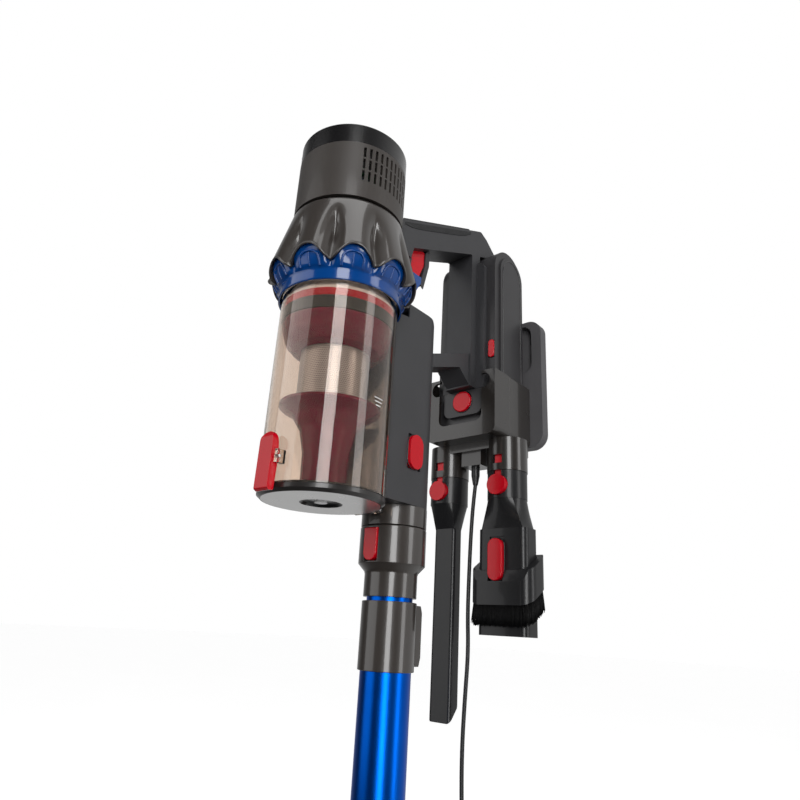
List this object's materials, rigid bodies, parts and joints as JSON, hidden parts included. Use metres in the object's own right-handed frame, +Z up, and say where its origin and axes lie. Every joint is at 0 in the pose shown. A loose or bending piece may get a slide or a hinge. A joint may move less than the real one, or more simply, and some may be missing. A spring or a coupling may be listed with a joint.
{
  "type": "cordless stick vacuum cleaner",
  "caption": "Cordless stick vacuum hanging in its wall dock, with see-through dust bin, cyclone, telescopic wand, floor head, clip-in tools and charging lead.",
  "frame": {"origin": "centre of the wall plate's back face, half way between its two screw holes", "axes": "+Z up, +Y into the wall, -Y towards the room, +X to the right of someone who faces the wall"},
  "size_m": [0.295, 0.334, 1.039],
  "materials": {
    "shell_gloss": "glossy warm gunmetal moulded shell",
    "cap_black": "near-black polished cap",
    "shell_matte": "fine-textured dark grey moulding",
    "dock_matte": "matt mid grey moulding",
    "battery_grey": "satin dark grey moulding",
    "rubber_dark": "soft dark rubber",
    "ring_blue": "polished blue moulding",
    "button_red": "satin red moulding",
    "core_maroon": "dark red moulding behind the smoky wall",
    "screen_steel": "perforated bright steel",
    "bin_clear": "clear smoky polycarbonate",
    "flap_silver": "silver grey moulding",
    "tube_blue": "satin blue anodised tube",
    "pin_steel": "bright steel",
    "cell_metal": "shrink-wrapped cells and motor can",
    "cone_grey": "grey moulding",
    "filter_white": "pleated filter paper",
    "board_green": "circuit board",
    "bristle_black": "dense black bristles",
    "cable_black": "soft black cable jacket",
    "adapter_black": "matt black moulding"
  },
  "bodies": {
    "dock": {"wall_plate": "dock_matte", "dock_bracket": "dock_matte", "cradle_shell": "shell_gloss", "tool_rack": "shell_gloss", "charge_plug": "cable_black", "charging_cable": "cable_black", "cable_coil": "cable_black", "power_adapter": "adapter_black"},
    "battery": {"battery_case": "battery_grey", "battery_side_panels": "battery_grey", "battery_cells": "cell_metal"},
    "release_button": {"battery_release_button": "button_red"},
    "power_switch": {"power_button": "button_red"},
    "unit": {"handle_shell": "shell_matte", "grip_pad": "rubber_dark", "motor_housing": "shell_gloss", "fan_motor": "cell_metal", "control_board": "board_green", "cyclone_cover": "shell_gloss", "cyclone_ring": "ring_blue", "duct_hood": "ring_blue", "cyclone_cones": "cone_grey", "core_collar": "core_maroon", "bin_seal": "rubber_dark", "core_flange": "core_maroon", "mesh_screen": "screen_steel", "core_skirt": "core_maroon", "spine_shell": "shell_matte", "inlet_duct": "shell_matte", "nozzle_neck": "shell_gloss"},
    "trigger_lever": {"trigger": "button_red", "trigger_spring": "pin_steel"},
    "cap": {"filter_cap": "cap_black", "hepa_filter": "filter_white"},
    "fan": {"impeller": "cone_grey"},
    "bin_button": {"bin_release_button": "button_red"},
    "bin": {"dust_bin": "bin_clear", "flap_hinge_pin": "pin_steel", "latch_pin": "pin_steel"},
    "flap": {"bin_flap": "flap_silver", "flap_seal": "rubber_dark"},
    "latch": {"bin_latch": "button_red"},
    "wand": {"wand_collar": "shell_gloss", "inner_tube": "tube_blue"},
    "wand_button": {"wand_release_button": "button_red"},
    "lower_wand": {"wand_sleeve": "shell_gloss", "outer_tube": "tube_blue", "wand_foot": "shell_matte"},
    "lever": {"length_lever": "shell_gloss"},
    "yoke": {"head_yoke": "shell_matte"},
    "head": {"head_housing": "shell_matte"},
    "roller": {"brush_roller": "bristle_black"},
    "wheels": {"head_wheels": "rubber_dark"},
    "crevice": {"crevice_tool": "shell_matte"},
    "crevice_button": {"crevice_catch": "button_red"},
    "combination": {"combination_tool": "shell_matte"},
    "combination_button": {"combination_catch": "button_red"},
    "brush": {"brush_skirt": "shell_matte", "brush_bristles": "bristle_black", "slider_button": "button_red"}
  },
  "joints": [
    {"name": "battery_dock_slide", "type": "slide", "parent": "dock", "child": "battery", "axis": [0, 0, 1], "range_m": [0, 0.12]},
    {"name": "unit_slide", "type": "slide", "parent": "battery", "child": "unit", "axis": [0, 0, 1], "range_m": [0, 0.17]},
    {"name": "release_button_press", "type": "slide", "parent": "battery", "child": "release_button", "axis": [0, 1, 0], "range_m": [0, 0.002], "stiffness_N_per_m": 600, "springref_m": -0.001},
    {"name": "power_button_press", "type": "slide", "parent": "battery", "child": "power_switch", "axis": [0, 1, 0], "range_m": [0, 0.0015], "stiffness_N_per_m": 400, "springref_m": -0.001},
    {"name": "trigger_pull", "type": "slide", "parent": "unit", "child": "trigger_lever", "axis": [0, 0, 1], "range_m": [0, 0.005], "stiffness_N_per_m": 500, "springref_m": -0.001, "deforming": ["trigger_spring"]},
    {"name": "cap_lift", "type": "slide", "parent": "unit", "child": "cap", "axis": [0, 0, 1], "range_m": [0, 0.03]},
    {"name": "fan_spin", "type": "hinge", "parent": "unit", "child": "fan", "pos_m": [0, -0.268, 0], "axis": [0, 0, 1], "continuous": true},
    {"name": "bin_button_press", "type": "slide", "parent": "unit", "child": "bin_button", "axis": [-1, 0, 0], "range_m": [0, 0.0018], "stiffness_N_per_m": 600, "springref_m": -0.001},
    {"name": "bin_slide", "type": "slide", "parent": "unit", "child": "bin", "axis": [0, 0, -1], "range_m": [0, 0.17]},
    {"name": "flap_hinge", "type": "hinge", "parent": "bin", "child": "flap", "pos_m": [0, -0.2145, -0.177], "axis": [1, 0, 0], "range_deg": [0, 80]},
    {"name": "latch_pivot", "type": "hinge", "parent": "bin", "child": "latch", "pos_m": [0, -0.322, -0.157], "axis": [1, 0, 0], "range_deg": [-8, 0], "stiffness_Nm_per_rad": 0.4, "springref_deg": 5.73},
    {"name": "wand_slide", "type": "slide", "parent": "unit", "child": "wand", "axis": [0, 0, -1], "range_m": [0, 0.045]},
    {"name": "wand_button_press", "type": "slide", "parent": "wand", "child": "wand_button", "axis": [0, 1, 0], "range_m": [0, 0.0015], "stiffness_N_per_m": 600, "springref_m": -0.001},
    {"name": "telescope_slide", "type": "slide", "parent": "wand", "child": "lower_wand", "axis": [0, 0, -1], "range_m": [0, 0.24]},
    {"name": "length_lever_press", "type": "slide", "parent": "lower_wand", "child": "lever", "axis": [0, 0, -1], "range_m": [0, 0.004], "stiffness_N_per_m": 500, "springref_m": -0.002},
    {"name": "neck_swivel", "type": "hinge", "parent": "lower_wand", "child": "yoke", "pos_m": [0, -0.18, -0.8], "axis": [0, 0, 1], "range_deg": [-45, 45]},
    {"name": "head_tilt", "type": "hinge", "parent": "yoke", "child": "head", "pos_m": [0, -0.18, -0.838], "axis": [1, 0, 0], "range_deg": [0, 80]},
    {"name": "roller_spin", "type": "hinge", "parent": "head", "child": "roller", "pos_m": [0, -0.262, -0.843], "axis": [1, 0, 0], "continuous": true},
    {"name": "wheel_spin", "type": "hinge", "parent": "head", "child": "wheels", "pos_m": [0, -0.172, -0.853], "axis": [1, 0, 0], "continuous": true},
    {"name": "crevice_tool_slide", "type": "slide", "parent": "dock", "child": "crevice", "axis": [0, 0, -1], "range_m": [0, 0.03]},
    {"name": "crevice_catch_press", "type": "slide", "parent": "crevice", "child": "crevice_button", "axis": [0, 1, 0], "range_m": [0, 0.0015], "stiffness_N_per_m": 500, "springref_m": -0.001},
    {"name": "combination_tool_slide", "type": "slide", "parent": "dock", "child": "combination", "axis": [0, 0, -1], "range_m": [0, 0.03]},
    {"name": "combination_catch_press", "type": "slide", "parent": "combination", "child": "combination_button", "axis": [0, 1, 0], "range_m": [0, 0.0015], "stiffness_N_per_m": 500, "springref_m": -0.001},
    {"name": "brush_slide", "type": "slide", "parent": "combination", "child": "brush", "axis": [0, 0, -1], "range_m": [0, 0.02]}
  ]
}
